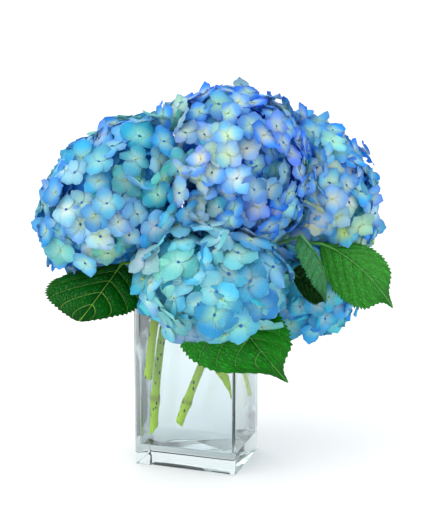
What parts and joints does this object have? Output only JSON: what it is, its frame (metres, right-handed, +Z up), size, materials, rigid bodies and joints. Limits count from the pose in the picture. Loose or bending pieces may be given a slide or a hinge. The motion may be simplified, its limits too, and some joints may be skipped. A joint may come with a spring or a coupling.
{
  "type": "hydrangeas in a glass vase",
  "caption": "Cut hydrangea mopheads with serrated leaves on forked stems, standing in water in a clear square-sided glass block vase.",
  "frame": {"origin": "centre of the vase's underside, on the surface it stands on", "axes": "+Z up; the vase's wide front face looks along -Y; +X is to the right seen from the front"},
  "size_m": [0.326, 0.256, 0.3658],
  "materials": {
    "vase_glass": "gloss",
    "water": "gloss",
    "stem": "satin",
    "florets_sky": "matte",
    "florets_violet": "matte",
    "florets_blue": "matte",
    "florets_aqua": "matte",
    "leaf": "satin"
  },
  "bodies": {
    "root": {"vase": "vase_glass", "water": "water", "stem_left": "stem", "stem_top": "stem", "stem_right": "stem", "stem_front": "stem", "stem_back": "stem", "head_left": "florets_sky", "head_top": "florets_violet", "head_right": "florets_blue", "head_front": "florets_aqua", "head_back": "florets_blue", "leaf_left": "leaf", "leaf_front": "leaf", "leaf_right": "leaf", "leaf_folded": "leaf", "leaf_inner": "leaf", "leaf_back_left": "leaf", "leaf_back_right": "leaf"}
  },
  "joints": []
}
